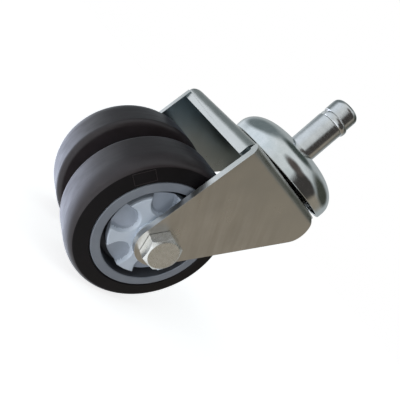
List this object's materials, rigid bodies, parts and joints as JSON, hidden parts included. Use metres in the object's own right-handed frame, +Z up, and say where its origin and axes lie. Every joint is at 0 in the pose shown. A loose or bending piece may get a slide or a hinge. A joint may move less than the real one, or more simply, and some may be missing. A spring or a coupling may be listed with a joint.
{
  "type": "twin-wheel swivel stem caster",
  "caption": "Chair caster: a grip-ring stem and domed swivel cap over a pressed-steel fork that carries twin rubber-tyred wheels on one axle bolt.",
  "frame": {"origin": "on the swivel axis, at the flat top of the swivel cap, where the chair's base rests", "axes": "+Z up along the stem; the wheels trail the swivel axis at -X; the axle lies along Y with the bolt's head at -Y"},
  "size_m": [0.08, 0.0631, 0.0995],
  "materials": {
    "stem_steel": "bright zinc plating, turned, semi-gloss",
    "cap_zinc": "bright zinc plating on a pressed dome, glossy",
    "fork_zinc": "zinc plating on pressed sheet, satin with faint rolling grain",
    "fastener_zinc": "zinc plating, satin",
    "bearing_steel": "hardened and lightly greased",
    "tyre_rubber": "soft thermoplastic rubber, matt",
    "core_plastic": "moulded blue-grey plastic, satin",
    "nylon": "natural nylon, satin",
    "insert_nylon": "blue nylon, satin"
  },
  "bodies": {
    "stem_unit": {"stem": "stem_steel", "grip_ring": "bearing_steel", "swivel_cap": "cap_zinc", "upper_race": "bearing_steel", "lower_race": "bearing_steel", "rivet_washer": "fastener_zinc"},
    "upper_balls": {"upper_ball_01": "bearing_steel", "upper_ball_02": "bearing_steel", "upper_ball_03": "bearing_steel", "upper_ball_04": "bearing_steel", "upper_ball_05": "bearing_steel", "upper_ball_06": "bearing_steel", "upper_ball_07": "bearing_steel", "upper_ball_08": "bearing_steel", "upper_ball_09": "bearing_steel", "upper_ball_10": "bearing_steel", "upper_ball_11": "bearing_steel", "upper_ball_12": "bearing_steel", "upper_ball_13": "bearing_steel", "upper_ball_14": "bearing_steel", "upper_ball_15": "bearing_steel", "upper_ball_16": "bearing_steel"},
    "lower_balls": {"lower_ball_01": "bearing_steel", "lower_ball_02": "bearing_steel", "lower_ball_03": "bearing_steel", "lower_ball_04": "bearing_steel", "lower_ball_05": "bearing_steel", "lower_ball_06": "bearing_steel", "lower_ball_07": "bearing_steel", "lower_ball_08": "bearing_steel", "lower_ball_09": "bearing_steel", "lower_ball_10": "bearing_steel", "lower_ball_11": "bearing_steel", "lower_ball_12": "bearing_steel"},
    "fork_unit": {"fork": "fork_zinc", "axle_bolt": "fastener_zinc", "nut_washer": "fastener_zinc", "axle_nut": "fastener_zinc", "nut_insert": "insert_nylon", "axle_sleeve": "bearing_steel", "wheel_spacer": "nylon", "near_side_washer": "nylon", "far_side_washer": "nylon"},
    "near_wheel": {"near_tyre": "tyre_rubber", "near_wheel_core": "core_plastic", "near_wheel_bush": "nylon"},
    "far_wheel": {"far_tyre": "tyre_rubber", "far_wheel_core": "core_plastic", "far_wheel_bush": "nylon"}
  },
  "joints": [
    {"name": "swivel", "type": "hinge", "parent": "stem_unit", "child": "fork_unit", "pos_m": [0, 0, 0], "axis": [0, 0, 1], "continuous": true},
    {"name": "upper_balls_roll", "type": "hinge", "parent": "stem_unit", "child": "upper_balls", "pos_m": [0, 0, -0.01065], "axis": [0, 0, 1], "continuous": true},
    {"name": "lower_balls_roll", "type": "hinge", "parent": "stem_unit", "child": "lower_balls", "pos_m": [0, 0, -0.01595], "axis": [0, 0, 1], "continuous": true},
    {"name": "near_wheel_spin", "type": "hinge", "parent": "fork_unit", "child": "near_wheel", "pos_m": [-0.0325, 0, -0.0517], "axis": [0, 1, 0], "continuous": true},
    {"name": "far_wheel_spin", "type": "hinge", "parent": "fork_unit", "child": "far_wheel", "pos_m": [-0.0325, 0, -0.0517], "axis": [0, 1, 0], "continuous": true}
  ],
  "couplings": [
    {"joint": "upper_balls_roll", "follows": "swivel", "ratio": 0.5},
    {"joint": "lower_balls_roll", "follows": "swivel", "ratio": 0.5}
  ]
}
